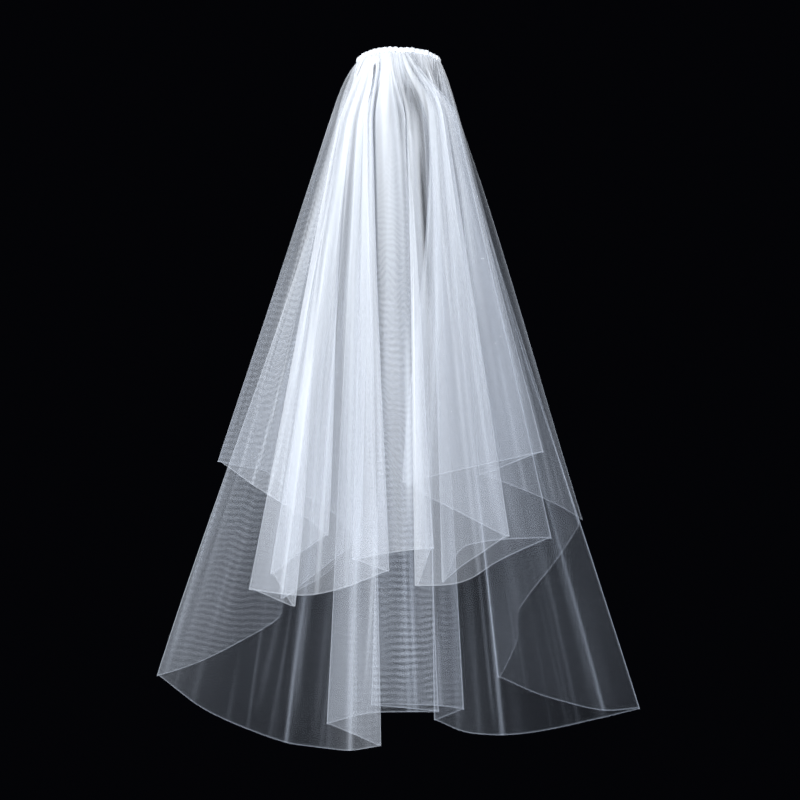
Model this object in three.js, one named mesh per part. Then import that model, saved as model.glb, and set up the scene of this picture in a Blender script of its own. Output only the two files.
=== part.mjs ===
// Bridal veil of two tulle tiers, gathered into one heading over a hair comb.
// Millimetres. +Z is up. The back of the veil faces -Y, and both tiers are open on the +Y side.
// The origin is at the roots of the comb's middle teeth, where the hair holds the veil.
import * as THREE from 'three';

// Driving sizes
const CLOTH_WALL = 1.2;
const FOLD_RADIUS = 5;
const SEAM_GAP = 0.3;
const VEIL_TOP = 15;
const COMB = {
  halfWidth: 45, spineHeight: 8.3, thickness: 2.4, teeth: 19, toothLength: 36,
  toothRoot: 2.2, toothTip: 1.1,
};
const HEADING = {
  centre: -2, halfWidth: 57.5, halfDepth: 18, height: 6.4, rise: 13, flatness: 3.4, tilt: 0.027,
  ridges: 30, ridgeDepth: 0.9,
};

// Each tier starts on its own oval ring under the heading, given by the two half widths of the
// oval and by the angles where its cut sides stand. At -90 degrees the ring is at its left end,
// at 0 in the middle of the back and at 90 at its right end.
const UPPER_RING = { across: 56, out: 15, from: -140, to: 97 };
const LOWER_RING = { across: 50.5, out: 7.5, from: -140, to: 140 };

// How a tier leaves the heading: the shoulder just under it, rounder at the left than at the
// right by the lean, how fast the folds form there, and the room that each step along the hem
// takes up on the gathering thread besides its own length
const SHOULDER = 0.07;
const SHOULDER_REACH = 0.05;
const SHOULDER_LEAN = 0.32;
const PUFF = 0.36;
const PUFF_REACH = 0.035;
const FOLDS_START = 0.025;
const FOLDS_FORMED = 0.15;
const THREAD_ROOM = 14;
const LEVELS = [0, 0.015, 0.03, 0.045, 0.065, 0.095, 0.16, 0.27, 0.43, 0.68, 1];

// The hem of each tier, from the cut side at the left of the open front, round the back and on
// to the cut side at the right, in millimetres. A row is one of four kinds of place on the hem:
// an edge is a cut side, a fold is where the cloth turns back on itself, a crease is a bend in
// it, and a sweep is a place that the hem only passes through.
//   across   left (-) or right (+) of the middle
//   out      towards the back (-) or the open front (+)
//   drop     below the top of the heading
//   spring   where along the heading the fold seems to come from
//   bow      how far the fold bends sideways between the heading and the hem
const UPPER_HEM = rows('kind across out drop spring bow', [
  ['edge', -81, 142, 692, -49, 12],
  ['sweep', -102, 134, 720],
  ['sweep', -145, 123, 745],
  ['fold', -168, 114, 754, -53, 0],
  ['fold', -53, 95, 671, -46, 0],
  ['sweep', -102, 82, 624],
  ['sweep', -156, 63, 596],
  ['crease', -186, 47, 573, -54, 0],
  ['sweep', -221, 26, 566],
  ['fold', -247, 0, 559, -56, 2],
  ['sweep', -186, -40, 596],
  ['sweep', -120, -58, 635],
  ['fold', -95, -64, 655, -50, -12],
  ['sweep', -130, -74, 676],
  ['fold', -171, -84, 704, -54, 0],
  ['fold', -137, -102, 745, -52, -19],
  ['fold', -197, -120, 722, -54, -3],
  ['sweep', -122, -136, 730],
  ['crease', -70, -143, 717, -46, -6],
  ['fold', -14, -147, 696, -40, -4],
  ['fold', -62, -129, 682, -44, 0],
  ['sweep', 0, -136, 671],
  ['fold', 44, -143, 667, -9, 9],
  ['fold', 19, -162, 713, 3, 4],
  ['sweep', 80, -168, 711],
  ['sweep', 132, -172, 677],
  ['fold', 194, -170, 652, 49, 0],
  ['sweep', 82, -160, 659],
  ['fold', 53, -150, 709, 37, 0],
  ['sweep', 88, -140, 684],
  ['fold', 142, -130, 652, 45, 0],
  ['sweep', 53, -117, 610],
  ['fold', 3, -107, 583, 33, 15],
  ['sweep', 96, -98, 563],
  ['fold', 189, -86, 544, 54, -3],
  ['fold', 105, -66, 574, 50, 12],
  ['crease', 167, -53, 596, 54, 0],
  ['sweep', 216, -36, 618],
  ['edge', 246, -22, 637, 50, 5],
]);

const LOWER_HEM = rows('kind across out drop spring bow', [
  ['edge', -160, 60, 750, -44, 0],
  ['sweep', -165, 59, 775],
  ['sweep', -191, 54, 793],
  ['sweep', -274, 30, 835],
  ['fold', -330, 0, 849, -47, 14],
  ['sweep', -254, -34, 897],
  ['crease', -151, -64, 930, -46, 12],
  ['sweep', -107, -76, 935],
  ['crease', -66, -86, 937, -38, 0],
  ['fold', -25, -84, 931, -41, -3],
  ['fold', -98, -44, 908, -45, -5],
  ['sweep', -45, -40, 894],
  ['crease', 12, -38, 893, -16, 0],
  ['crease', 21, -37, 893, -10, 0],
  ['fold', 52, -35, 893, 0, 10],
  ['fold', -39, -18, 886, -10, 0],
  ['crease', 55, -9, 889, 10, 0],
  ['fold', 87, -5, 894, 38, 0],
  ['fold', 46, -23, 906, 26, 4],
  ['sweep', 89, -34, 922],
  ['crease', 137, -44, 923, 46, 0],
  ['sweep', 187, -36, 920],
  ['sweep', 277, -10, 904],
  ['fold', 327, 14, 896, 47, -8],
  ['crease', 280, 40, 902, 46, -8],
  ['sweep', 201, 64, 887],
  ['fold', 136, 78, 861, 43, 0],
  ['sweep', 166, 91, 811],
  ['sweep', 164, 96, 770],
  ['sweep', 225, 102, 693],
  ['edge', 252, 104, 650, 47, -4],
]);

// Turns rows of values into rows with named columns
function rows(names, values) {
  const columns = names.split(' ');
  return values.map((row) => Object.fromEntries(columns.map((name, i) => [name, row[i]])));
}

function mix(a, b, share) {
  return a + (b - a) * share;
}

function smoothStep(from, to, value) {
  const t = Math.min(1, Math.max(0, (value - from) / (to - from)));
  return t * t * (3 - 2 * t);
}

// The heading is arched over the crown and sits a little lower at the right, so every top edge
// under it follows this curve
function archHeight(across) {
  return -HEADING.rise * Math.abs(across / HEADING.halfWidth) ** HEADING.flatness - HEADING.tilt * across;
}

// The height of a tier's top edge, a seam's gap under the heading
function tierTop(across) {
  return VEIL_TOP - HEADING.height - SEAM_GAP + archHeight(across);
}

// The hem as points close enough to sew along: a fold gets a round turn, and a place that the
// hem sweeps through gets a rounded corner. Spring and bow are shared out between the folds.
function hemPoints(hem) {
  const points = [];
  hem.forEach((row, i) => {
    const before = hem[i - 1];
    const after = hem[i + 1];
    if (row.kind === 'fold') {
      const side = Math.sign(row.across - (before.across + after.across) / 2);
      const turn = Math.sign(after.out - before.out);
      for (const degrees of [-72, -24, 24, 72]) {
        const angle = THREE.MathUtils.degToRad(degrees);
        points.push({
          ...row,
          across: row.across + side * FOLD_RADIUS * (Math.cos(angle) - 1),
          out: row.out + turn * FOLD_RADIUS * Math.sin(angle),
        });
      }
    } else if (row.kind === 'sweep') {
      for (const [near, weight] of [[before, 0.22], [after, 0.22]]) {
        points.push({
          across: mix(row.across, near.across, weight),
          out: mix(row.out, near.out, weight),
          drop: mix(row.drop, near.drop, weight),
        });
      }
    } else {
      points.push({ ...row });
    }
  });
  shareAlong(points);
  return points;
}

// Gives every hem point its place along the cloth, from 0 to 1, and fills in spring and bow
function shareAlong(points) {
  points[0].along = 0;
  for (let i = 1; i < points.length; i += 1) {
    const step = Math.hypot(points[i].across - points[i - 1].across, points[i].out - points[i - 1].out);
    points[i].along = points[i - 1].along + step + THREAD_ROOM;
  }
  const length = points.at(-1).along;
  let last = 0;
  points.forEach((point, i) => {
    point.along /= length;
    if (point.spring === undefined) return;
    for (let k = last + 1; k < i; k += 1) {
      const share = (points[k].along - points[last].along) / (point.along - points[last].along);
      points[k].spring = mix(points[last].spring, point.spring, share);
      points[k].bow = mix(points[last].bow, point.bow, share);
    }
    last = i;
  });
}

// A point of the cloth's middle surface: level 0 is at the heading and level 1 at the hem
function clothPoint(ring, point, level) {
  const angle = THREE.MathUtils.degToRad(mix(ring.from, ring.to, point.along));
  const ringAcross = HEADING.centre + ring.across * Math.sin(angle);
  const ringOut = -ring.out * Math.cos(angle);
  const top = tierTop(ringAcross);
  const lean = 1 - SHOULDER_LEAN * (1 + Math.sin(angle));
  const shoulder = SHOULDER * lean * (1 - level) * (1 - Math.exp(-level / SHOULDER_REACH));
  const puff = PUFF * (1 - level) * (1 - Math.exp(-level / PUFF_REACH));
  const bow = point.bow * 6.75 * level * (1 - level) ** 2;
  const foldAcross = mix(point.spring, point.across, level + shoulder) + bow;
  const formed = smoothStep(FOLDS_START, FOLDS_FORMED, level);
  return new THREE.Vector3(
    mix(mix(ringAcross, point.across, level + shoulder), foldAcross, formed),
    mix(ringOut, point.out, level + puff),
    mix(top, VEIL_TOP - point.drop, level),
  );
}

// Moves a row of points sideways by half the wall, level and square to the row
function wallSides(row) {
  const sides = [[], []];
  row.forEach((point, i) => {
    const along = row[Math.min(i + 1, row.length - 1)].clone().sub(row[Math.max(i - 1, 0)]);
    const square = new THREE.Vector3(along.y, -along.x, 0).normalize();
    sides[0].push(point.clone().addScaledVector(square, CLOTH_WALL / 2));
    sides[1].push(point.clone().addScaledVector(square, -CLOTH_WALL / 2));
  });
  return sides;
}

// Joins two equal grids of points, the outer and the inner side of a wall, into a closed solid
function wallGeometry(grids) {
  const levels = grids[0].length;
  const columns = grids[0][0].length;
  const index = (side, level, column) => (side * levels + level) * columns + column;
  const faces = [];
  const quad = (a, b, c, d) => faces.push(a, b, c, a, c, d);
  for (let level = 0; level < levels - 1; level += 1) {
    for (let column = 0; column < columns - 1; column += 1) {
      quad(index(0, level, column), index(0, level + 1, column),
        index(0, level + 1, column + 1), index(0, level, column + 1));
      quad(index(1, level, column), index(1, level, column + 1),
        index(1, level + 1, column + 1), index(1, level + 1, column));
    }
    const end = columns - 1;
    quad(index(0, level, 0), index(1, level, 0), index(1, level + 1, 0), index(0, level + 1, 0));
    quad(index(0, level, end), index(0, level + 1, end), index(1, level + 1, end), index(1, level, end));
  }
  const hem = levels - 1;
  for (let column = 0; column < columns - 1; column += 1) {
    quad(index(0, 0, column), index(0, 0, column + 1), index(1, 0, column + 1), index(1, 0, column));
    quad(index(0, hem, column), index(1, hem, column), index(1, hem, column + 1), index(0, hem, column + 1));
  }
  const geometry = new THREE.BufferGeometry();
  const places = grids.flat(2).flatMap((point) => point.toArray());
  geometry.setAttribute('position', new THREE.Float32BufferAttribute(places, 3));
  geometry.setIndex(faces);
  return geometry;
}

// One tier: a wall from its ring under the heading down to its folded hem
function tier(name, ring, hem, material) {
  const points = hemPoints(hem);
  const grids = [[], []];
  for (const level of LEVELS) {
    const sides = wallSides(points.map((point) => clothPoint(ring, point, level)));
    sides.forEach((side, i) => grids[i].push(side));
  }
  grids.forEach((grid) => grid[0].forEach((point) => point.setZ(tierTop(point.x))));
  return named(name, wallGeometry(grids), material);
}

// The heading: both tiers' top edges drawn up on a thread into one small ridged roll, oval from
// above and arched like the crown under it
function gatheredHeading(material) {
  const around = HEADING.ridges * 4;
  const shells = [
    { size: 0.99, height: 0 }, { size: 1.01, height: 0.3 }, { size: 0.98, height: 0.62 },
    { size: 0.88, height: 0.88 }, { size: 0.58, height: 1 },
  ];
  const places = [];
  for (const { size, height } of shells) {
    for (let i = 0; i < around; i += 1) {
      const angle = (i / around) * Math.PI * 2;
      const ridge = 1 + (HEADING.ridgeDepth / HEADING.halfDepth) * Math.cos(angle * HEADING.ridges) * height;
      const across = HEADING.centre + HEADING.halfWidth * size * Math.sin(angle);
      const out = -HEADING.halfDepth * size * ridge * Math.cos(angle);
      places.push(across, out, VEIL_TOP - HEADING.height * (1 - height) + archHeight(across));
    }
  }
  const faces = [];
  for (let shell = 0; shell < shells.length - 1; shell += 1) {
    for (let i = 0; i < around; i += 1) {
      const a = shell * around + i;
      const b = shell * around + ((i + 1) % around);
      faces.push(a, b, b + around, a, b + around, a + around);
    }
  }
  const crown = (shells.length - 1) * around;
  for (const [first, up] of [[0, false], [crown, true]]) {
    for (let i = 0; i < around / 2; i += 1) {
      const back = [first + i - around / 4, first + i + 1 - around / 4].map((k) => (k < first ? k + around : k));
      const front = [first + around - around / 4 - i, first + around - around / 4 - i - 1];
      const strip = [[back[0], back[1], front[1]], [back[0], front[1], front[0]]];
      for (const [a, b, c] of strip) {
        if (a === b || b === c || a === c) continue;
        faces.push(...(up ? [a, b, c] : [a, c, b]));
      }
    }
  }
  const geometry = new THREE.BufferGeometry();
  geometry.setAttribute('position', new THREE.Float32BufferAttribute(places, 3));
  geometry.setIndex(faces);
  return named('gathered_heading', geometry, material);
}

// The comb: one flat moulding, an arched spine with a row of tapering teeth
function hairComb(material) {
  const { halfWidth, spineHeight, thickness, teeth, toothLength, toothRoot, toothTip } = COMB;
  const pitch = (2 * halfWidth - toothRoot) / (teeth - 1);
  const outline = new THREE.Shape();
  const steps = 24;
  for (let i = 0; i <= steps; i += 1) {
    const across = mix(halfWidth, -halfWidth, i / steps);
    const height = spineHeight + archHeight(across);
    if (i === 0) outline.moveTo(across, height);
    else outline.lineTo(across, height);
  }
  for (let i = 0; i < teeth; i += 1) {
    const middle = -halfWidth + toothRoot / 2 + i * pitch;
    const root = archHeight(middle);
    const tip = root - toothLength;
    outline.lineTo(middle - toothRoot / 2, root);
    outline.lineTo(middle - toothTip / 2, tip);
    outline.lineTo(middle + toothTip / 2, tip);
    outline.lineTo(middle + toothRoot / 2, root);
  }
  outline.closePath();
  const geometry = new THREE.ExtrudeGeometry(outline, { depth: thickness, bevelEnabled: false });
  const comb = named('comb', geometry, material);
  comb.rotation.x = Math.PI / 2;
  comb.position.y = thickness / 2;
  return comb;
}

function named(name, geometry, material) {
  const mesh = new THREE.Mesh(geometry, material);
  mesh.name = name;
  return mesh;
}

const tulle = new THREE.MeshStandardMaterial({ color: 0xe6ecf5, roughness: 0.8, metalness: 0 });
const gathers = new THREE.MeshStandardMaterial({ color: 0xf4f6fc, roughness: 0.8, metalness: 0 });
const clearPlastic = new THREE.MeshStandardMaterial({ color: 0xdfe3e8, roughness: 0.25, metalness: 0 });

const veil = new THREE.Group();
veil.name = 'bridal_veil';
veil.add(
  tier('upper_tier', UPPER_RING, UPPER_HEM, tulle),
  tier('lower_tier', LOWER_RING, LOWER_HEM, tulle),
  gatheredHeading(gathers),
  hairComb(clearPlastic),
);

export default veil;
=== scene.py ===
import math

import bpy
import numpy as np
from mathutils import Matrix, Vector


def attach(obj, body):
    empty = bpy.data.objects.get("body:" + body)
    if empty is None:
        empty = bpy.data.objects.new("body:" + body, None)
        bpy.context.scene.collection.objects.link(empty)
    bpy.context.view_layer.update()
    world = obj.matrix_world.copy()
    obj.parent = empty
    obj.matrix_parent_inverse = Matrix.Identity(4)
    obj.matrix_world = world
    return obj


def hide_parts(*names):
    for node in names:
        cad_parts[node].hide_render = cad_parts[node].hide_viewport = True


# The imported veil, in metres. +Z is up, the back of the veil faces -Y and its open front faces +Y.
# Sizes of the cloth are given in millimetres, as it is cut and sewn.
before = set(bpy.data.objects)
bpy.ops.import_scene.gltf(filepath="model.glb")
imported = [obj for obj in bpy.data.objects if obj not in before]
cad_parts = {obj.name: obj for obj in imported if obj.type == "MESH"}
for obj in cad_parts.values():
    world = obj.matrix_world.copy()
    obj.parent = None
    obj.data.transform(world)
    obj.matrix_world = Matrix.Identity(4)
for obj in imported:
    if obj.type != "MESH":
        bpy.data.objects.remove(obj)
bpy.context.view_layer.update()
MM = 0.001

# Camera: level with the middle of the veil, three metres behind its back, so that the frame
# spans 1.0856 m at the comb.
CAMERA_AWAY = 3.0
CAMERA_HEIGHT = -0.460
FRAME_WIDTH = 1.0856
SENSOR_WIDTH = 36
lens = bpy.data.cameras.new("camera")
lens.sensor_width = SENSOR_WIDTH
lens.lens = SENSOR_WIDTH * CAMERA_AWAY / FRAME_WIDTH
camera = bpy.data.objects.new("camera", lens)
camera.location = (0, -CAMERA_AWAY, CAMERA_HEIGHT)
camera.rotation_euler = (math.radians(90), 0, 0)
bpy.context.scene.collection.objects.link(camera)
bpy.context.scene.camera = camera

# Studio: plain dark surroundings with large soft lights all round, strongest from the left, and
# a pale floor at the height where a standing wearer's feet would be.
SURROUNDINGS = (0.0011, 0.0012, 0.0019)
COOL_WHITE = (0.95, 0.97, 1)
KEY_WHITE = (0.955, 0.975, 1)
TALL_PANEL = (1.6, 2.2)
FLOOR_BELOW = -1.65
FLOOR_RADIUS = 2.6
FLOOR_COLOUR = (0.72, 0.72, 0.71, 1)


def soft_light(name, place, size, power, colour=(1, 1, 1), aim_height=-0.45):
    # A rectangular panel that faces the middle line of the veil, in metres and watts
    data = bpy.data.lights.new(name, "AREA")
    data.shape = "RECTANGLE"
    data.size, data.size_y = size
    data.energy = power
    data.color = colour
    light = bpy.data.objects.new(name, data)
    light.location = place
    aim = Vector((0, 0, aim_height)) - Vector(place)
    light.rotation_euler = aim.to_track_quat("-Z", "Y").to_euler()
    light.visible_camera = False
    bpy.context.scene.collection.objects.link(light)


def start_finish(name, values):
    # A new material whose shader has the given values on its own sockets
    finish = bpy.data.materials.new(name)
    finish.use_nodes = True
    surface = finish.node_tree.nodes["Principled BSDF"]
    for socket, value in values.items():
        surface.inputs[socket].default_value = value
    return finish, surface


soft_light("key_left", (-1.5, -2.9, 0.2), TALL_PANEL, 108, KEY_WHITE)
soft_light("fill_right", (2.4, -2.0, 0.1), TALL_PANEL, 36, COOL_WHITE)
soft_light("high_middle", (0.1, -1.7, 0.75), (0.9, 0.9), 10, COOL_WHITE, -0.2)
soft_light("back_left", (-2.2, 2.3, 0.4), TALL_PANEL, 66)
soft_light("back_right", (2.2, 2.3, 0.4), TALL_PANEL, 50)
soft_light("overhead", (0, -0.2, 2.2), (1.8, 1.8), 18)

world = bpy.data.worlds.new("dark_room")
world.use_nodes = True
world.node_tree.nodes["Background"].inputs["Color"].default_value = (*SURROUNDINGS, 1)
bpy.context.scene.world = world
bpy.context.scene.view_settings.view_transform = "Standard"

bpy.ops.object.select_all(action="DESELECT")
bpy.ops.mesh.primitive_circle_add(
    vertices=96, radius=FLOOR_RADIUS, fill_type="NGON", location=(0, 0, FLOOR_BELOW))
floor = bpy.context.object
floor.name = "floor"
pale_floor, _ = start_finish("pale_floor", {"Base Color": FLOOR_COLOUR, "Roughness": 0.8})
floor.data.materials.append(pale_floor)

# Upper tier: one long piece of plain tulle with cut edges, gathered at its top onto the heading
# and falling in uneven folds, open at the front.

# The places that its hem passes, from the cut side at the left of the open front, round the
# back and on to the cut side at the right. Lengths are in millimetres.
#   edge, fold, sweep, crease: a cut side, a round turn, a rounded corner, the foot of a crease
#   across, out: left (-) or right (+), and towards the back (-) or the open front (+)
#   drop: below the top of the heading
#   plies: how many thicknesses of net its small folds press together
#   grain: how strongly the wavy watering of two nets shows, from 0 to 2
#   spring, bow: where the fold starts and how far it bends
UPPER_HEM = [
    ("edge", -81, 142, 692, 2.4, 0, -49, 12),
    ("sweep", -102, 134, 720, 2.6, 0),
    ("sweep", -145, 123, 745, 2.8, 0),
    ("fold", -168, 114, 754, 3, 0, -53, 0),
    ("fold", -53, 95, 671, 3, 0, -46, 0),
    ("sweep", -102, 82, 624, 3, 0),
    ("sweep", -156, 63, 596, 3, 0),
    ("crease", -186, 47, 573, 3, 0, -54, 0),
    ("sweep", -221, 26, 566, 3.9, 0.6),
    ("fold", -247, 0, 559, 2.9, 0.6, -56, 2),
    ("sweep", -186, -40, 596, 5.6, 0.6),
    ("sweep", -120, -58, 635, 6, 0),
    ("fold", -95, -64, 655, 5.6, 0, -50, -12),
    ("sweep", -130, -74, 676, 5.4, 0),
    ("fold", -171, -84, 704, 5.2, 0, -54, 0),
    ("fold", -137, -102, 745, 5, 0, -52, -19),
    ("fold", -197, -120, 722, 4.6, 0, -54, -3),
    ("sweep", -122, -136, 730, 4.8, 0),
    ("crease", -70, -143, 717, 4.8, 0, -46, -6),
    ("fold", -14, -147, 696, 4.4, 0, -40, -4),
    ("fold", -62, -129, 682, 4.6, 0, -44, 0),
    ("sweep", 0, -136, 671, 8.5, 0.3),
    ("fold", 44, -143, 667, 3.8, 0, -9, 9),
    ("fold", 19, -162, 713, 6.4, 0, 3, 4),
    ("sweep", 80, -168, 711, 3.3, 0),
    ("sweep", 132, -172, 677, 1.9, 0),
    ("fold", 194, -170, 652, 1.1, 0, 49, 0),
    ("sweep", 82, -160, 659, 2.2, 0),
    ("fold", 53, -150, 709, 3.2, 0, 37, 0),
    ("sweep", 88, -140, 684, 3.2, 0),
    ("fold", 142, -130, 652, 3.4, 0, 45, 0),
    ("sweep", 53, -117, 610, 4.4, 0),
    ("fold", 3, -107, 583, 4.8, 0, 33, 15),
    ("sweep", 96, -98, 563, 3.2, 0),
    ("fold", 189, -86, 544, 2.1, 0, 54, -3),
    ("fold", 105, -66, 574, 2.8, 0, 50, 12),
    ("crease", 167, -53, 596, 2.2, 0, 54, 0),
    ("sweep", 216, -36, 618, 1.5, 0),
    ("edge", 246, -22, 637, 1.6, 0, 50, 5),
]
# The ring that the top edge is gathered on: half its width and its depth, and the angles from
# the back at which its cut sides stand
UPPER_RING = {"across": 56, "out": 15, "from": -140, "to": 97}
# The heading's place and size, how its arch falls to the sides, and how far the net is tucked in
VEIL_TOP = 15
HEADING_CENTRE, HEADING_HALF_WIDTH, HEADING_HEIGHT = -2, 57.5, 6.4
HEADING_RISE, HEADING_FLATNESS, HEADING_TILT = 13, 3.4, 0.027
TUCKED_IN = 2.0
# How far the net stands out just below the heading, across and out, and over which levels.
# Levels run from 0 at the heading to 1 at the hem.
SHOULDER, SHOULDER_REACH, SHOULDER_LEAN = 0.07, 0.05, 0.32
PUFF, PUFF_REACH = 0.36, 0.035
# The levels between which the large folds form, and the factor that makes a bow its full size
FOLDS_START, FOLDS_FORMED = 0.025, 0.15
BOW_FACTOR = 27 / 4
# The round turn at a fold, how much of a swept corner is cut off, and the thread between places
FOLD_RADIUS, FOLD_TURN = 5, (-72, -24, 24, 72)
SWEEP_CORNER = 0.22
THREAD_ROOM = 14
# The mesh: steps along the hem, how much closer its columns stand near a fold, its rows, and
# the narrow rows at the cut edge
HEM_STEPS = 20
FOLD_CLOSER, FOLD_NEAR = 2.2, 12
ROWS, ROWS_CLOSER = 78, 1.4
LAST_ROWS = (0.9955, 0.9968, 0.9984, 1)
# Small gathers: depth, share turned inwards, sideways shift, how the depth grows and fades, how
# they wander and vary along the hem, and how they calm down near a large fold
GATHER_DEPTH, GATHER_INWARD, GATHER_SHIFT, SHIFT_PHASE = 10.0, 0.5, 1.4, 1.3
DEPTH_FADE, DEPTH_AT_TOP, DEPTH_GAINED, DEPTH_REACH = 0.9, 0.2, 0.8, 0.12
GATHER_WANDER = ((2.2, 173), (1.4, 61))
GATHER_VARIES, VARIES_OVER = 0.3, 97
CALM, CALM_NEAR = 0.85, 13
# Slow waves between the large folds
WAVE_DEPTH, WAVE_LENGTH, WAVE_PEAK = 3.0, 88, 1.6
WAVE_WANDER, WANDER_LENGTH = 0.8, 310
# Creases: depth, the levels over which one fades in and out, and how far it spreads
CREASE_DEPTH, CREASE_IN, CREASE_OUT, CREASE_SPREAD = 1.5, 0.12, 0.08, 3
# Faint creases strewn by chance: how many, and the ranges of lean, start, end, width, strength
STREWN = 60
STREWN_RANGES = ((-30, 30), (0.05, 0.55), (0.7, 1.2), (1.2, 5.0), (0.08, 0.4))
# How packed the net is: its limits, how it eases sideways, what the upper net and the top add,
# and the thinner parts at the right and at the left end of the heading
LEAST_PACKED, MOST_PACKED = 0.7, 14
PACKING_EASE = [0.1, 0.2, 0.4, 0.2, 0.1]
FALL_DENSE, FALL_FADE = 0.9, 1.5
UPPER_DENSE, UPPER_FADE = 2.0, 5
TOP_DENSE, TOP_REACH = 2.0, 0.03
RIGHT_THINNER, RIGHT_FROM, RIGHT_OVER = 0.75, -20, 50
END_THINNER, END_FROM, END_OVER = 0.6, -40, 12
# Painted highlight lines along a fold and a crease, the bright cut edge, in mm, and where the watering
# begins
FOLD_HIGHLIGHT_WIDTH, CREASE_HIGHLIGHT_WIDTH, CREASE_HIGHLIGHT_SHARE, RIM_LINE = 2.6, 2.4, 0.3, 1.1
MOST_GRAIN, GRAIN_FROM, GRAIN_OVER = 2, 0.12, 0.3
# The share of the light and shade that follows the broad form, and not the small gathers
SOFT_SHADE = 0.75
# What is kept at each point of the net for its material
NET_MARKS = ("packing", "folds", "rim", "moire", "pinch")


def arch_height(across):
    return -HEADING_RISE * abs(across / HEADING_HALF_WIDTH) ** HEADING_FLATNESS - HEADING_TILT * across


def sewn_points(hem):
    # A fold gets a round turn and a place that the hem sweeps through gets a rounded corner
    points = []
    for i, (kind, across, out, drop, plies, grain, *fall) in enumerate(hem):
        if kind == "fold":
            before, after = hem[i - 1], hem[i + 1]
            side = math.copysign(1, across - (before[1] + after[1]) / 2)
            turn = math.copysign(1, after[2] - before[2])
            for degrees in FOLD_TURN:
                angle = math.radians(degrees)
                points.append((across + side * FOLD_RADIUS * (math.cos(angle) - 1),
                               out + turn * FOLD_RADIUS * math.sin(angle), drop, plies, grain, *fall))
        elif kind == "sweep":
            here = (across, out, drop, plies, grain)
            for near in (hem[i - 1], hem[i + 1]):
                points.append(tuple(a + SWEEP_CORNER * (b - a) for a, b in zip(here, near[1:6])))
        else:
            points.append((across, out, drop, plies, grain, *fall))
    return points


def curve_through(values, at, want):
    # A smooth curve through each column of values, which stand at the places `at`
    slope = np.gradient(values, at, axis=0)
    k = np.clip(np.searchsorted(at, want) - 1, 0, len(at) - 2)
    span = (at[k + 1] - at[k])[:, None]
    t = (want[:, None] - at[k][:, None]) / span
    return ((2 * t**3 - 3 * t**2 + 1) * values[k] + (t**3 - 2 * t**2 + t) * span * slope[k]
            + (3 * t**2 - 2 * t**3) * values[k + 1] + (t**3 - t**2) * span * slope[k + 1])


def set_out_hem(hem, columns):
    # Reads the hem as `columns` points, set closer together round the folds
    points = sewn_points(hem)
    plan = np.array([p[:2] for p in points], float)
    step = np.hypot(*np.diff(plan, axis=0).T)
    along = np.concatenate([[0], np.cumsum(step + THREAD_ROOM)])
    along /= along[-1]
    known = [k for k, p in enumerate(points) if len(p) > 5]
    fall = np.array([points[k][5:] for k in known], float)
    spring = np.interp(along, along[known], fall[:, 0])
    bow = np.interp(along, along[known], fall[:, 1])
    drop, plies, grain = np.array([p[2:5] for p in points], float).T
    table = np.column_stack([plan, drop, spring, bow, along, plies, grain])
    at = np.concatenate([[0], np.cumsum(np.sqrt(step))])
    fine = np.linspace(0, at[-1], HEM_STEPS * len(at))
    dense = curve_through(table, at, fine)
    run = np.concatenate([[0], np.cumsum(np.hypot(*np.diff(dense[:, :2], axis=0).T))])
    points_of = {"fold": len(FOLD_TURN), "sweep": 2}
    marks, k = [], 0
    for kind, *_ in hem:
        taken = points_of.get(kind, 1)
        marks.append(np.interp(at[k:k + taken].mean(), fine, run))
        k += taken
    marks = np.array(marks)
    tips = marks[[kind == "fold" for kind, *_ in hem]]
    creases = marks[[kind == "crease" for kind, *_ in hem]]
    near = np.abs(run[:, None] - tips[None, :]).min(axis=1)
    weight = 1 + FOLD_CLOSER * np.exp(-(near / FOLD_NEAR) ** 2)
    share = np.concatenate([[0], np.cumsum(np.diff(run) * (weight[1:] + weight[:-1]) / 2)])
    place = np.interp(np.linspace(0, share[-1], columns), share, run)
    rows = curve_through(table, at, np.interp(place, run, fine))
    gap_tip = np.abs(place[:, None] - tips[None, :]).min(axis=1)
    gap_crease = np.abs(place[:, None] - creases[None, :]).min(axis=1)
    return rows, place, gap_tip, gap_crease, marks


def hang(ring, rows, level):
    # Where the cloth hangs at a level from 0, at the heading, to 1, at the hem
    across, out, drop, spring, bow, along = rows.T[:6]
    angle = np.radians(ring["from"] + (ring["to"] - ring["from"]) * along)
    ring_across = HEADING_CENTRE + ring["across"] * np.sin(angle)
    ring_out = -ring["out"] * np.cos(angle)
    top = VEIL_TOP - HEADING_HEIGHT + TUCKED_IN + arch_height(ring_across)
    lean = 1 - SHOULDER_LEAN * (1 + np.sin(angle))
    shoulder = SHOULDER * lean * (1 - level) * (1 - math.exp(-level / SHOULDER_REACH))
    puff = PUFF * (1 - level) * (1 - math.exp(-level / PUFF_REACH))
    bend = bow * BOW_FACTOR * level * (1 - level) ** 2
    folded = spring + (across - spring) * (level + shoulder) + bend
    t = min(1, max(0, (level - FOLDS_START) / (FOLDS_FORMED - FOLDS_START)))
    formed = t * t * (3 - 2 * t)
    free = ring_across + (across - ring_across) * (level + shoulder)
    return np.column_stack([free + (folded - free) * formed,
                            ring_out + (out - ring_out) * (level + puff),
                            top + (VEIL_TOP - drop - top) * level])


def sheet_normals(grid):
    # The direction that a grid of points faces at each of them
    square = np.cross(np.gradient(grid, axis=0), np.gradient(grid, axis=1))
    return square / np.maximum(np.linalg.norm(square, axis=2), 1e-12)[:, :, None]


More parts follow.
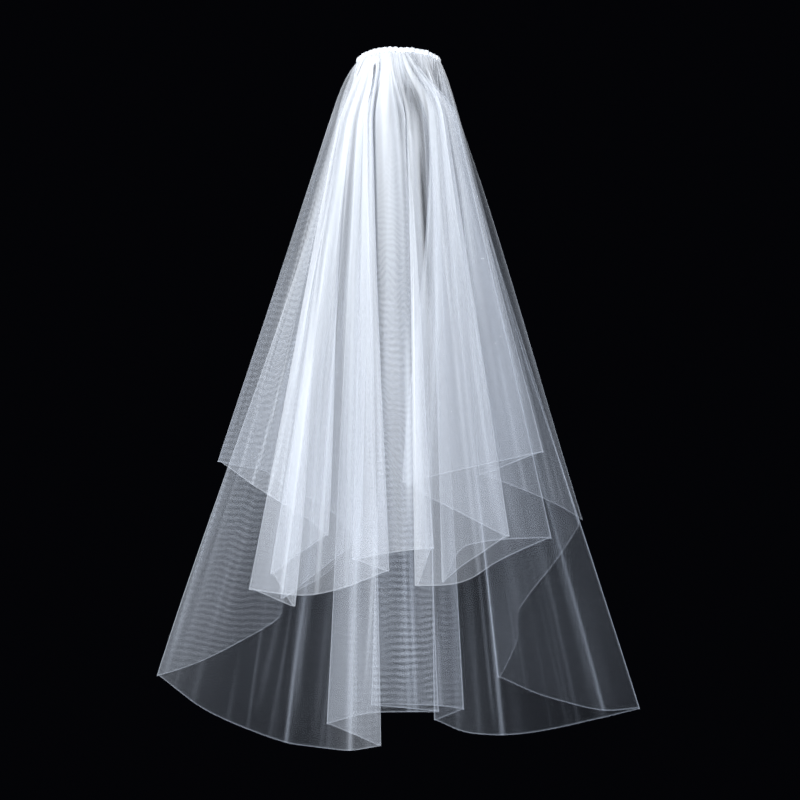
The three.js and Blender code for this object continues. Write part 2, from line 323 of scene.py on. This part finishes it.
def net_sheet(name, cloth, broad, flat, marks):
    # One sheet of net through a grid of points, with its flat cut as its map. It is lit mostly
    # as its broad form, because light goes through the small gathers.
    count, columns = cloth.shape[:2]
    index = np.arange(count * columns).reshape(count, columns)
    quads = np.stack([index[:-1, :-1], index[1:, :-1], index[1:, 1:], index[:-1, 1:]], axis=-1)
    quads = quads.reshape(-1, 4)
    mesh = bpy.data.meshes.new(name)
    mesh.from_pydata(cloth.reshape(-1, 3).tolist(), [], quads.tolist())
    mesh.polygons.foreach_set("use_smooth", [True] * len(quads))
    corners = np.empty(len(mesh.loops), np.int32)
    mesh.loops.foreach_get("vertex_index", corners)
    cut = mesh.uv_layers.new(name="flat_cut")
    cut.data.foreach_set("uv", flat.reshape(-1, 2)[corners].ravel())
    for label, values in zip(NET_MARKS, marks):
        layer = mesh.attributes.new(label, "FLOAT", "POINT")
        layer.data.foreach_set("value", values.astype(np.float32).ravel())
    mesh.update()
    facing = SOFT_SHADE * sheet_normals(broad) + (1 - SOFT_SHADE) * sheet_normals(cloth)
    facing /= np.linalg.norm(facing, axis=2)[:, :, None]
    mesh.normals_split_custom_set_from_vertices(facing.reshape(-1, 3).tolist())
    sheet = bpy.data.objects.new(name, mesh)
    bpy.context.scene.collection.objects.link(sheet)
    return sheet


def hang_tier(name, ring, hem, creases, columns, gathers, seed):
    # Builds one tier as a sheet of net, with small uneven gathers between its large folds
    rng = np.random.default_rng(seed)
    rows, place, gap_tip, gap_crease, marks = set_out_hem(hem, columns)
    width = place[-1]
    round_once = 2 * math.pi
    levels = np.concatenate([np.linspace(0, 1, ROWS) ** ROWS_CLOSER * LAST_ROWS[0], LAST_ROWS[1:]])
    phase = round_once * gathers * place / width
    phase += sum(strength * np.sin(round_once * place / length + rng.uniform(0, 6))
                 for strength, length in GATHER_WANDER)
    size = 1.0 + GATHER_VARIES * np.sin(round_once * place / VARIES_OVER + rng.uniform(0, 6))
    size *= 1 - CALM * np.exp(-(gap_tip / CALM_NEAR) ** 2)
    slow = round_once * place / WAVE_LENGTH + rng.uniform(0, 6)
    slow = slow + WAVE_WANDER * np.sin(round_once * place / WANDER_LENGTH)
    ranges = ((0, len(hem) - 1), *STREWN_RANGES)
    strewn = [tuple(rng.uniform(*span) for span in ranges) for _ in range(STREWN)]
    ring_angle = np.radians(ring["from"] + (ring["to"] - ring["from"]) * rows[:, 5])
    ring_across = ring["across"] * np.sin(ring_angle)
    thin_right = RIGHT_THINNER * np.clip((ring_across - RIGHT_FROM) / RIGHT_OVER, 0, 1)
    thin_end = END_THINNER * np.clip((END_FROM - ring_across) / END_OVER, 0, 1)
    even = 1 - thin_right - thin_end
    cloth, broad, flat, packing, pinch = [], [], [], [], []
    fall = np.zeros(columns)
    last = None
    for level in levels:
        middle = hang(ring, rows, level)
        if last is not None:
            fall = fall + np.linalg.norm(middle - last, axis=1)
        last = middle
        along = np.gradient(middle[:, :2], axis=0)
        along /= np.maximum(np.hypot(*along.T), 1e-6)[:, None]
        square = np.column_stack([along[:, 1], -along[:, 0]])
        formed = DEPTH_AT_TOP + DEPTH_GAINED * (1 - math.exp(-level / DEPTH_REACH))
        deep = (1 - level) ** DEPTH_FADE * formed
        wave = WAVE_DEPTH * (1 - level) * math.sin(math.pi * min(1, level * WAVE_PEAK))
        ripple = GATHER_DEPTH * deep * size * (np.sin(phase) - GATHER_INWARD) + wave * np.sin(slow)
        shift = GATHER_SHIFT * deep * size * np.sin(phase * 0.5 + SHIFT_PHASE)
        pressed = np.zeros(columns)
        for row, slant, start, end, wide, strength in creases + strewn:
            where = np.interp(row, np.arange(len(hem)), marks) + slant * (1 - level)
            fade = min(1, max(0, (level - start) / CREASE_IN))
            fade *= min(1, max(0, (end + CREASE_OUT / 2 - level) / CREASE_OUT))
            spread = 2 * wide + CREASE_SPREAD
            pressed += strength * fade * np.exp(-((place - where) / wide) ** 2)
            ripple = ripple + CREASE_DEPTH * strength * fade * np.exp(-((place - where) / spread) ** 2)
        pinch.append(pressed)
        broad.append(middle * MM)
        middle = middle.copy()
        middle[:, :2] += square * ripple[:, None] + along * shift[:, None]
        cloth.append(middle * MM)
        flat.append(np.column_stack([place, fall]) * MM)
        now = np.hypot(*np.gradient(middle[:, :2], axis=0).T)
        ratio = np.gradient(place) / np.maximum(now, 1e-3)
        ratio = np.convolve(np.pad(ratio, 2, mode="edge"), PACKING_EASE, "valid")
        dense = 1 + FALL_DENSE * (1 - level) ** FALL_FADE + UPPER_DENSE * (1 - level) ** UPPER_FADE
        dense *= 1 + TOP_DENSE * math.exp(-level / TOP_REACH)
        packed = np.clip(ratio, LEAST_PACKED, MOST_PACKED) * rows[:, 6]
        packing.append(packed * (1 + (dense - 1) * even))
    cloth, broad, flat, packing, pinch = map(np.array, (cloth, broad, flat, packing, pinch))
    # Painted highlight: the net is made denser along each fold tip and, more faintly, each crease
    folds = np.exp(-(gap_tip / FOLD_HIGHLIGHT_WIDTH) ** 2)
    folds = folds + CREASE_HIGHLIGHT_SHARE * np.exp(-(gap_crease / CREASE_HIGHLIGHT_WIDTH) ** 2)
    folds = np.broadcast_to(folds, packing.shape)
    watered = np.clip((levels - GRAIN_FROM) / GRAIN_OVER, 0, 1)
    moire = np.clip(rows[:, 7], 0, MOST_GRAIN)[None, :] * watered[:, None]
    to_hem = flat[-1, :, 1] - flat[:, :, 1]
    to_side = np.minimum(place, width - place) * MM
    rim = np.maximum(np.exp(-(to_hem / (RIM_LINE * MM)) ** 2),
                     np.exp(-(to_side / (RIM_LINE * MM)) ** 2)[None, :])
    sheet = net_sheet(name, cloth, broad, flat, (packing, folds, rim, moire, pinch))
    cut_area = float((np.gradient(place) * flat[-1, :, 1]).sum() * MM)
    return sheet, width * MM, float(flat[-1, :, 1].max()), cut_area


class Shade:
    # Lets a material's arithmetic be written as plain expressions on its nodes' sockets
    def __init__(self, tree, socket):
        self.tree, self.socket = tree, socket

    @classmethod
    def node(cls, tree, kind, settings=None, out=0, **values):
        made = tree.nodes.new(kind)
        for key, value in (settings or {}).items():
            setattr(made, key, value)
        for key, value in values.items():
            socket = made.inputs[int(key[1:])] if key[0] == "i" and key[1:].isdigit() else made.inputs[key]
            if isinstance(value, Shade):
                tree.links.new(value.socket, socket)
            else:
                socket.default_value = value
        return cls(tree, made.outputs[out])

    def maths(self, operation, *others):
        values = {f"i{k + 1}": other for k, other in enumerate(others)}
        return Shade.node(self.tree, "ShaderNodeMath", {"operation": operation}, i0=self, **values)

    def __add__(self, other):
        return self.maths("ADD", other)

    def __radd__(self, other):
        return self.maths("ADD", other)

    def __mul__(self, other):
        return self.maths("MULTIPLY", other)

    def __rmul__(self, other):
        return self.maths("MULTIPLY", other)

    def __sub__(self, other):
        return self.maths("SUBTRACT", other)

    def __rsub__(self, other):
        return Shade.node(self.tree, "ShaderNodeMath", {"operation": "SUBTRACT"}, i0=other, i1=self)

    def __neg__(self):
        return self.maths("MULTIPLY", -1.0)

    def sin(self):
        return self.maths("SINE")

    def cos(self):
        return self.maths("COSINE")

    def exp(self):
        return self.maths("EXPONENT")

    def clamp(self, low, high):
        return Shade.node(self.tree, "ShaderNodeClamp", {}, i0=self, i1=low, i2=high)


# The net's material: the share that one thickness hides, its holes in mm and their slant, and
# how strongly the thread, a press, the painted highlight along a fold and a cut edge show
NET_COVER = 0.035
NET_HOLE, NET_SLANT, THREAD_SHOWS = 1.0, 0.866, 0.14
PRESS_SHOWS, FOLD_HIGHLIGHT_SHOWS, RIM_SHOWS = 2.6, 13.0, 8.0
# The watering: where it starts to twist, how fast, its lines per metre and its strength, then
# the stretch of its waves and of the faint clouds, and the clouds' spread
TWIST_FROM, TWIST_RATE, WATER_LINES, WATER_SHOWS = 0.4, 400.0, 720.0, 0.3
WAVE_STRETCH, CLOUD_STRETCH = (19.0, 5.0, 1.0), (9.0, 2.5, 1.0)
CLOUD_SPREAD, CLOUD_LEAST = 0.8, 0.6
UPPER_TWIST, LOWER_TWIST = (16.0, 60.0), (13.0, 14.0)
# The colour turns from the thin net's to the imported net's as it is packed
THIN_NET, PACKED_NET, WHITENS = (0.70, 0.80, 0.985, 1), (0.88, 0.92, 0.985, 1), -0.28


def tulle_finish(name, twist_range):
    # Fine hexagonal net: its thread hides a small share of what is behind it, more where the
    # cloth is packed by gathers and at a cut edge, and more along a fold as a painted highlight
    finish, cloth = start_finish(name, {"Roughness": 0.75, "Specular IOR Level": 0.25})
    tree = finish.node_tree
    cut = Shade.node(tree, "ShaderNodeUVMap", {"uv_map": "flat_cut"})
    parts = tree.nodes.new("ShaderNodeSeparateXYZ")
    tree.links.new(cut.socket, parts.inputs[0])
    u, v = Shade(tree, parts.outputs[0]), Shade(tree, parts.outputs[1])
    packing, folds, rim, moire, pinch = [
        Shade.node(tree, "ShaderNodeAttribute", {"attribute_name": mark}, out=2) for mark in NET_MARKS]

    def drift(stretch):
        stretched = Shade.node(tree, "ShaderNodeMapping", {}, i0=cut, Scale=stretch)
        return Shade.node(tree, "ShaderNodeTexNoise", {"noise_dimensions": "2D"}, Scale=1.0, Detail=2.0,
                          Vector=stretched)

    hole = 2 * math.pi / (NET_HOLE * MM)
    slanted = hole * NET_SLANT
    net = (u * hole).cos() + (u * (-hole / 2) + v * slanted).cos() + (u * (-hole / 2) - v * slanted).cos()
    thread = 1.0 - net * THREAD_SHOWS
    wave = drift(WAVE_STRETCH)
    patch = drift(CLOUD_STRETCH)
    twist = ((u - TWIST_FROM) * TWIST_RATE).clamp(*twist_range)
    grain = (wave * twist + v * WATER_LINES).sin() * moire * WATER_SHOWS + 1.0
    cloud = patch * CLOUD_SPREAD + CLOUD_LEAST
    pressed = packing * thread * grain * cloud * (pinch * PRESS_SHOWS + 1.0)
    # The fold mark adds a painted highlight line along folds and creases
    alpha = 1.0 - (-((pressed + folds * FOLD_HIGHLIGHT_SHOWS + rim * RIM_SHOWS) * NET_COVER)).exp()
    dense = 1.0 - (packing * WHITENS).exp()
    tint = Shade.node(tree, "ShaderNodeMix", {"data_type": "RGBA"}, out=2,
                      i0=dense, i6=THIN_NET, i7=PACKED_NET)
    tree.links.new(tint.socket, cloth.inputs["Base Color"])
    tree.links.new(alpha.socket, cloth.inputs["Alpha"])
    return finish


# Creases pressed into the net by hand: the hem row that each ends at, how far it leans (mm), the
# levels it runs between, its width in the flat cloth (mm) and how strongly it shows. One with a
# strength below 0 is a thin dark gap between folds.
UPPER_CREASES = [
    (9.8, 30, 0.5, 1.1, 1.6, 0.7),
    (10.15, 30, 0.55, 1.1, 1.6, 0.6),
    (10.37, 10, 0.7, 1.1, 1.5, 0.5),
    (10.53, 0, 0.62, 1.1, 1.6, 0.6),
    (16.6, 0, 0.3, 1.1, 2.2, 0.6),
    (17.3, 0, 0.35, 1.1, 3.0, 0.4),
    (24.4, 0, 0.3, 1.1, 2.0, 0.4),
    (29.3, 0, 0.35, 1.1, 2.2, 0.4),
    (36.5, 10, 0.3, 1.1, 2.2, 0.5),
    (37.2, 10, 0.4, 1.1, 2.0, 0.5),
    (32.8, 0, -0.2, 0.07, 40.0, -0.34),
    (33.9, 0, -0.2, 0.10, 36.0, -0.30),
    (35.9, 0, -0.2, 0.10, 36.0, -0.25),
    (23.6, 0, -0.04, 0.14, 20.0, -0.28),
    (23.68, 0, 0.14, 0.47, 5.0, -0.32),
    (21.6, 0, 0.07, 0.17, 9.0, -0.34),
    (22.5, 0, -0.2, 0.13, 40.0, -0.3),
    (9.9, 0, -0.2, 0.1, 60.0, -0.33),
    (7.4, 0, -0.2, 0.1, 60.0, -0.33),
]
upper, upper_width, upper_length, upper_area = hang_tier(
    "upper_tier_net", UPPER_RING, UPPER_HEM, UPPER_CREASES, columns=1080, gathers=46, seed=4)
upper.data.materials.append(tulle_finish("soft_white_tulle", UPPER_TWIST))
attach(upper, "root")
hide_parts("upper_tier")

# Lower tier: a longer piece of the same tulle under the first, cut with rounded front corners
# so that its hem rises to the sides of the open front.
LOWER_HEM = [
    ("edge", -160, 60, 750, 2, 1.2, -44, 0),
    ("sweep", -165, 59, 775, 2, 1.2),
    ("sweep", -191, 54, 793, 2.2, 1.2),
    ("sweep", -274, 30, 835, 2.8, 1.2),
    ("fold", -330, 0, 849, 2.4, 0.4, -47, 14),
    ("sweep", -254, -34, 897, 0.9, 0),
    ("crease", -151, -64, 930, 0.9, 0, -46, 12),
    ("sweep", -107, -76, 935, 0.9, 0),
    ("crease", -66, -86, 937, 2.9, 0, -38, 0),
    ("fold", -25, -84, 931, 3.2, 0.3, -41, -3),
    ("fold", -98, -44, 908, 3.2, 0.3, -45, -5),
    ("sweep", -45, -40, 894, 2.8, 0.8),
    ("crease", 12, -38, 893, 1.3, 1.8, -16, 0),
    ("crease", 21, -37, 893, 1.4, 2, -10, 0),
    ("fold", 52, -35, 893, 1.8, 1.6, 0, 10),
    ("fold", -39, -18, 886, 2.4, 1.6, -10, 0),
    ("crease", 55, -9, 889, 2.1, 0.8, 10, 0),
    ("fold", 87, -5, 894, 1.2, 0.9, 38, 0),
    ("fold", 46, -23, 906, 1.2, 0.6, 26, 4),
    ("sweep", 89, -34, 922, 1, 0),
    ("crease", 137, -44, 923, 0.64, 0, 46, 0),
    ("sweep", 187, -36, 920, 0.56, 0),
    ("sweep", 277, -10, 904, 0.46, 0),
    ("fold", 327, 14, 896, 0.46, 0, 47, -8),
    ("crease", 280, 40, 902, 0.46, 0, 46, -8),
    ("sweep", 201, 64, 887, 0.5, 0),
    ("fold", 136, 78, 861, 0.75, 0, 43, 0),
    ("sweep", 166, 91, 811, 1, 0),
    ("sweep", 164, 96, 770, 1, 0),
    ("sweep", 225, 102, 693, 1, 0),
    ("edge", 252, 104, 650, 1, 0, 47, -4),
]
LOWER_RING = {"across": 50.5, "out": 7.5, "from": -140, "to": 140}
LOWER_CREASES = [
    (2.95, 0, 0.75, 0.95, 2.0, 0.3),
    (4.65, 0, 0.9, 1.0, 5.0, 0.35),
    (5.21, -20, 0.88, 1.1, 3.0, 0.3),
    (5.48, -40, 0.76, 1.1, 2.2, 0.45),
    (5.55, 60, 0.7, 0.94, 5.0, 0.35),
    (5.78, 30, 0.72, 1.1, 2.6, 0.4),
    (6, 30, 0.55, 0.93, 7.0, 0.45),
    (6, -20, 0.6, 1.1, 2.2, 0.5),
    (6.3, -60, 0.66, 0.95, 4.0, 0.35),
    (6.85, 20, 0.72, 0.97, 5.0, 0.25),
    (7.05, 60, 0.8, 1.1, 2.2, 0.3),
    (7.3, -10, 0.86, 1.1, 4.0, 0.2),
    (8.25, 90, 0.6, 0.93, 2.6, 0.5),
    (8.8, 0, 0.6, 0.95, 2.2, 0.45),
    (8, 0, 0.6, 1.1, 4.0, 0.25),
    (9.6, 0, 0.6, 1.1, 4.0, 0.3),
    (19.8, -15, 0.7, 0.97, 2.4, 0.8),
    (20, 0, 0.6, 1.1, 4.5, 0.6),
    (20.4, 0, 0.8, 1.1, 9.0, 0.25),
    (20.6, 0, 0.7, 0.9, 1.8, 0.8),
    (21.6, 0, 0.65, 1.1, 3.0, 0.6),
    (21.9, 20, 0.7, 0.99, 5.0, 0.45),
    (22.03, -25, 0.68, 1.1, 6.0, 0.9),
    (22.3, 0, 0.8, 1.0, 8.0, 0.35),
    (25.4, 0, 0.6, 1.1, 3.0, 0.4),
    (21.4, 0, -0.2, 0.05, 40.0, -0.34),
    (25.4, 0, -0.2, 0.04, 40.0, -0.34),
    (16.2, 0, -0.04, 0.11, 20.0, -0.25),
    (16.28, 0, 0.1, 0.36, 5.0, -0.32),
    (13.4, 0, 0.04, 0.13, 9.0, -0.3),
    (14.3, 0, 0.04, 0.13, 9.0, -0.3),
    (15.6, 0, 0.04, 0.13, 9.0, -0.3),
    (4.2, 0, -0.2, 0.07, 60.0, -0.33),
    (18.2, 0, 0.68, 0.86, 2.0, -0.38),
    (17.75, 0, 0.68, 0.86, 2.0, -0.38),
    (16.0, 0, 0.7, 0.88, 2.0, -0.38),
]
lower, lower_width, lower_length, lower_area = hang_tier(
    "lower_tier_net", LOWER_RING, LOWER_HEM, LOWER_CREASES, columns=1000, gathers=42, seed=9)
lower.data.materials.append(tulle_finish("soft_white_tulle_below", LOWER_TWIST))
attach(lower, "root")
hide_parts("lower_tier")

# Gathered heading: the top edges of both tiers, drawn up together on a thread into a small
# ridged roll that is arched like the crown of the head.
HEADING_HALF_DEPTH = 18
# Ridges: how many, the steps in each, their depth, how it varies and how it is less at the ends
RIDGES, STEPS_IN_RIDGE, RIDGE_DEPTH = 46, 10, 1.5
LEAST_RIDGE, RIDGE_VARIES = 0.55, 0.9
RIDGE_AT_ENDS, RIDGE_AT_BACK_ADDS = 0.45, 0.55
# The roll between its ridges, how they lift its edge, its crown and its round edge in mm
ROLL_WIDTH_SHARE, ROLL_DEPTH_SHARE = 0.985, 0.96
RIDGE_LIFT = 0.8
CROWN = 1.2
ROLL_EDGE = 2.6
ROLL_MIDDLE = (VEIL_TOP - HEADING_HEIGHT / 2) * MM
bpy.ops.object.select_all(action="DESELECT")
bpy.ops.mesh.primitive_cylinder_add(
    vertices=RIDGES * STEPS_IN_RIDGE, radius=1, depth=HEADING_HEIGHT * MM, end_fill_type="TRIFAN",
    location=(0, 0, ROLL_MIDDLE))
heading = bpy.context.object
heading.name = "gathered_heading_roll"
bpy.ops.object.transform_apply(location=True, rotation=False, scale=False)
bpy.ops.object.mode_set(mode="EDIT")
bpy.ops.mesh.select_all(action="SELECT")
bpy.ops.mesh.subdivide(number_cuts=1)
bpy.ops.object.mode_set(mode="OBJECT")
rng = np.random.default_rng(11)
ridge_size = LEAST_RIDGE + RIDGE_VARIES * rng.random(RIDGES)
for vertex in heading.data.vertices:
    x, y, z = vertex.co
    turn = math.atan2(x, -y)
    reach = math.hypot(x, y)
    ridge = (turn / (2 * math.pi)) % 1 * RIDGES
    facing_back = RIDGE_AT_ENDS + RIDGE_AT_BACK_ADDS * abs(math.cos(turn))
    swell = ridge_size[int(ridge) % RIDGES] * abs(math.sin(math.pi * ridge)) * RIDGE_DEPTH * facing_back
    crown = CROWN * (1 - reach**2) if z > ROLL_MIDDLE else 0
    across = HEADING_CENTRE + (HEADING_HALF_WIDTH * ROLL_WIDTH_SHARE + swell) * reach * math.sin(turn)
    out = -(HEADING_HALF_DEPTH * ROLL_DEPTH_SHARE + swell) * reach * math.cos(turn)
    lift = arch_height(across) + RIDGE_LIFT * swell * reach + crown
    vertex.co = (across * MM, out * MM, z + lift * MM)
bpy.context.view_layer.objects.active = heading
bevel = heading.modifiers.new("soft_edge", "BEVEL")
bevel.width = ROLL_EDGE * MM
bevel.segments = 4
bevel.limit_method = "ANGLE"
bevel.angle_limit = math.radians(50)
bpy.ops.object.modifier_apply(modifier="soft_edge")
bpy.ops.object.shade_smooth()


def gathers_finish():
    # Packed net: nearly closed, matt and soft, with fine threads across the ridges
    finish, cloth = start_finish(
        "packed_white_net", {"Base Color": (0.78, 0.81, 0.86, 1), "Roughness": 0.85})
    tree = finish.node_tree
    place = Shade.node(tree, "ShaderNodeTexCoord", {}, out=3)
    weave = Shade.node(tree, "ShaderNodeTexNoise", {}, Vector=place, Scale=900.0, Detail=2.0)
    bump = tree.nodes.new("ShaderNodeBump")
    bump.inputs["Strength"].default_value = 0.35
    bump.inputs["Distance"].default_value = 0.4 * MM
    tree.links.new(weave.socket, bump.inputs["Height"])
    tree.links.new(bump.outputs[0], cloth.inputs["Normal"])
    return finish


heading.data.materials.clear()
heading.data.materials.append(gathers_finish())
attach(heading, "root")
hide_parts("gathered_heading")

# Comb: one clear plastic moulding, arched to the head, whose teeth slide into the hair. It keeps
# the solid's own shape, with its edges rounded as they leave the mould.
COMB_EDGE = 0.45
LEAST_ROUGH, FLOW_ADDS = 0.08, 0.2


def clear_finish():
    # Clear moulded plastic with a soft gloss and faint flow marks
    finish, plastic = start_finish(
        "clear_moulded_plastic", {"Base Color": (0.86, 0.89, 0.92, 1), "Alpha": 0.45, "IOR": 1.5})
    tree = finish.node_tree
    place = Shade.node(tree, "ShaderNodeTexCoord", {}, out=3)
    flow = Shade.node(tree, "ShaderNodeTexNoise", {}, Vector=place, Scale=120.0, Detail=3.0)
    rough = flow * FLOW_ADDS + LEAST_ROUGH
    tree.links.new(rough.socket, plastic.inputs["Roughness"])
    return finish


solid_comb = bpy.data.objects["comb"]
comb = bpy.data.objects.new("clear_comb", solid_comb.data.copy())
comb.data.transform(solid_comb.matrix_world)
bpy.context.scene.collection.objects.link(comb)
bpy.ops.object.select_all(action="DESELECT")
comb.select_set(True)
bpy.context.view_layer.objects.active = comb
bpy.ops.object.mode_set(mode="EDIT")
bpy.ops.mesh.select_all(action="SELECT")
bpy.ops.mesh.remove_doubles(threshold=0.02 * MM)
bpy.ops.mesh.dissolve_limited(angle_limit=math.radians(1))
bpy.ops.object.mode_set(mode="OBJECT")
rounded = comb.modifiers.new("rounded_edges", "BEVEL")
rounded.width = COMB_EDGE * MM
rounded.segments = 3
rounded.limit_method = "ANGLE"
rounded.angle_limit = math.radians(40)
bpy.ops.object.modifier_apply(modifier="rounded_edges")
bpy.ops.object.shade_smooth_by_angle(angle=math.radians(35))
comb.data.materials.clear()
comb.data.materials.append(clear_finish())
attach(comb, "root")
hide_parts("comb")

# Whip stitches: white thread taken round the comb's spine between the teeth and up through the
# gathers, which holds the heading to the comb.
COMB_HALF_WIDTH, COMB_TEETH, SPINE_HEIGHT = 45, 19, 8.3
END_TOOTH = 1.1
TOOTH_PITCH = (2 * COMB_HALF_WIDTH - 2 * END_TOOTH) / (COMB_TEETH - 1)
THREAD_RADIUS = 0.26
# Each loop's half depth, how far it goes over the spine, and how far it may turn, in degrees
LOOP_HALF_DEPTH, LOOP_OVER, LOOP_TURN = 1.9, 3.2, 14
loops = []
for gap in range(COMB_TEETH - 1):
    across = -COMB_HALF_WIDTH + END_TOOTH + (gap + 0.5) * TOOTH_PITCH
    low = arch_height(across) - THREAD_RADIUS
    high = arch_height(across) + SPINE_HEIGHT + LOOP_OVER
    stretch = (high - low) / 2 / LOOP_HALF_DEPTH
    bpy.ops.object.select_all(action="DESELECT")
    bpy.ops.mesh.primitive_torus_add(
        major_segments=24, minor_segments=6, major_radius=1, minor_radius=THREAD_RADIUS / LOOP_HALF_DEPTH,
        rotation=(0, math.radians(90), math.radians(rng.uniform(-LOOP_TURN, LOOP_TURN))))
    loop = bpy.context.object
    bpy.ops.object.transform_apply(location=False, rotation=True, scale=False)
    for vertex in loop.data.vertices:
        x, y, z = vertex.co
        vertex.co = ((across + x * LOOP_HALF_DEPTH) * MM, y * LOOP_HALF_DEPTH * MM,
                     ((low + high) / 2 + z * LOOP_HALF_DEPTH * stretch) * MM)
    loops.append(loop)
bpy.ops.object.select_all(action="DESELECT")
for loop in loops:
    loop.select_set(True)
bpy.context.view_layer.objects.active = loops[0]
bpy.ops.object.join()
stitches = bpy.context.object
stitches.name = "whip_stitches"
bpy.ops.object.shade_smooth()
sewing_thread, _ = start_finish(
    "white_sewing_thread", {"Base Color": (0.9, 0.92, 0.96, 1), "Roughness": 0.6})
stitches.data.materials.append(sewing_thread)
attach(stitches, "root")
